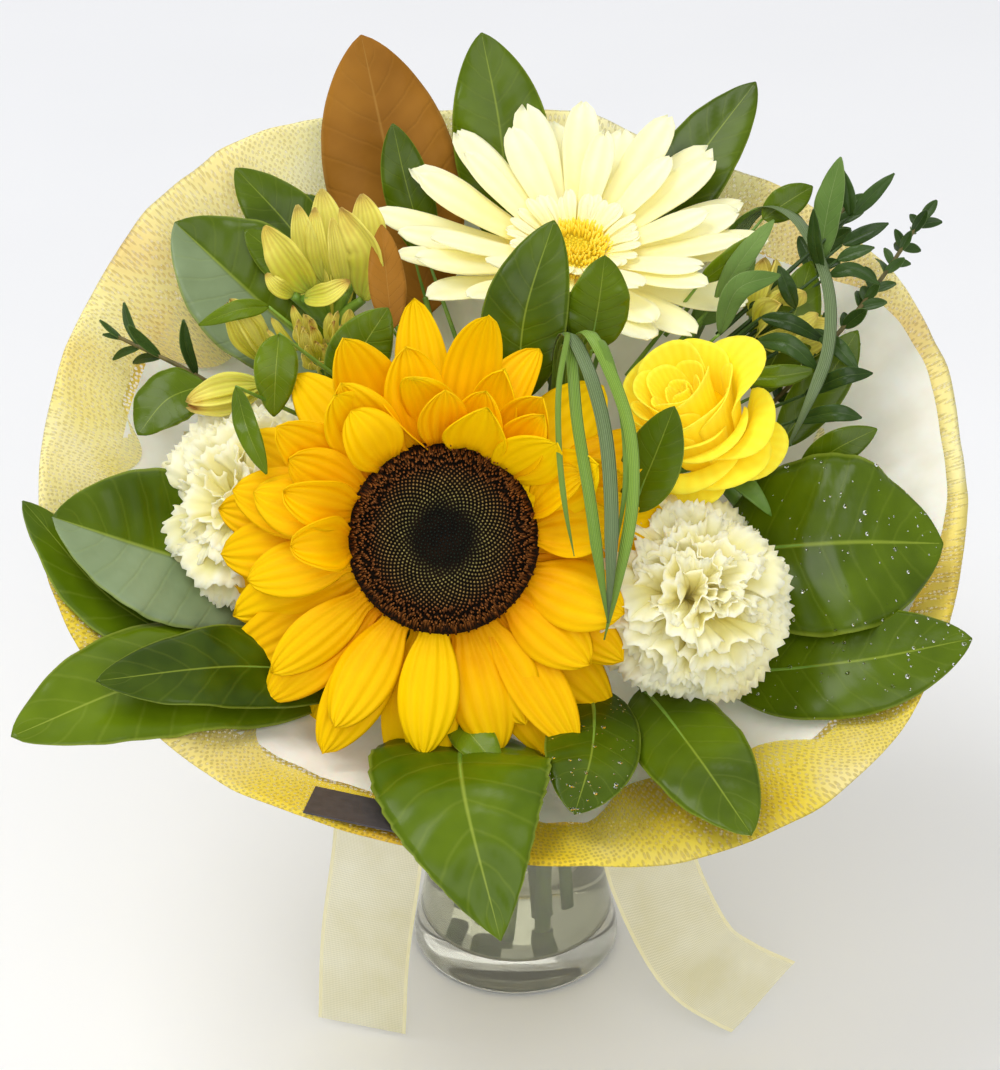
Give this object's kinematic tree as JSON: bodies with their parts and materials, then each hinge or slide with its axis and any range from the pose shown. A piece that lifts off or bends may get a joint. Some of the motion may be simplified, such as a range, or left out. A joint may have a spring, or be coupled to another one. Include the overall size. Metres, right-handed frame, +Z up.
{
  "type": "bunch of sunflowers",
  "caption": "Hand-tied posy with a sunflower, mixed cream and yellow flowers and glossy leaves, wrapped in netting with a ribbon, standing in a clear glass vase.",
  "frame": {"origin": "centre of the vase's underside", "axes": "+Z up; -Y towards the side the posy leans to and the sunflower faces; +X to the viewer's right"},
  "size_m": [0.3262, 0.3228, 0.329],
  "materials": {
    "glass": "clear, smooth",
    "water": "clear liquid",
    "liner": "white non-woven sheet, faintly embossed",
    "netting": "open yellow net",
    "tag": "matt dark card",
    "binding": "green tie",
    "ribbon": "sheer cream ribbon",
    "seed_disc": "fuzzy florets",
    "sunflower_petal": "satin petal",
    "gerbera_petal": "satin petal",
    "gerbera_eye": "fuzzy florets",
    "rose_petal": "soft petal",
    "carnation_petal": "ruffled petal",
    "alstroemeria_petal": "satin bud",
    "stem": "green stem",
    "green_cup": "green sepals",
    "leaf_glossy": "waxy leaf",
    "leaf_bronze": "felted underside",
    "leaf_grey": "soft grey-green leaf",
    "box_leaf": "small waxy leaves",
    "grass": "ribbed blade"
  },
  "bodies": {
    "root": {"glass_vase": "glass", "vase_water": "water", "wrap_liner": "liner", "wrap_netting": "netting", "wrap_tag": "tag", "stem_binding": "binding", "ribbon_band": "ribbon", "ribbon_knot": "ribbon", "ribbon_tail_left": "ribbon", "ribbon_tail_right": "ribbon", "sunflower_disc": "seed_disc", "sunflower_petals_front": "sunflower_petal", "sunflower_petals_back": "sunflower_petal", "sunflower_receptacle": "green_cup", "sunflower_stem": "stem", "gerbera_eye": "gerbera_eye", "gerbera_petals_short": "gerbera_petal", "gerbera_petals_long": "gerbera_petal", "gerbera_cup": "green_cup", "gerbera_stem": "stem", "rose_heart": "rose_petal", "rose_petals": "rose_petal", "rose_cup": "green_cup", "rose_stem": "stem", "carnation_right_bloom": "carnation_petal", "carnation_right_tube": "green_cup", "carnation_right_stem": "stem", "carnation_left_bloom": "carnation_petal", "carnation_left_tube": "green_cup", "carnation_left_stem": "stem", "alstroemeria_left_stem": "stem", "alstroemeria_left_flower": "alstroemeria_petal", "alstroemeria_left_seed_head": "alstroemeria_petal", "alstroemeria_left_bud_low": "alstroemeria_petal", "alstroemeria_left_bud_high": "alstroemeria_petal", "alstroemeria_right_flower": "alstroemeria_petal", "box_sprig_back": "box_leaf", "box_sprig_right": "box_leaf", "box_sprig_left": "box_leaf", "grass_loop_centre": "grass", "grass_loop_right": "grass", "leaf_bronze_back": "leaf_bronze", "leaf_grey_green": "leaf_grey", "leaf_back": "leaf_glossy", "leaf_back_right": "leaf_glossy", "leaf_upper_left": "leaf_glossy", "leaf_upper_left_behind": "leaf_glossy", "leaf_left_broad": "leaf_glossy", "leaf_left_under": "leaf_glossy", "leaf_front_left_long": "leaf_glossy", "leaf_front_left": "leaf_glossy", "leaf_front_hanging": "leaf_glossy", "leaf_front_glossy": "leaf_glossy", "leaf_front_right": "leaf_glossy", "leaf_right_under": "leaf_glossy", "leaf_right_broad": "leaf_glossy", "leaf_rose_side": "leaf_glossy", "leaf_centre_tall": "leaf_glossy", "leaf_centre_small": "leaf_glossy", "leaf_bud_side": "leaf_glossy"}
  },
  "joints": []
}
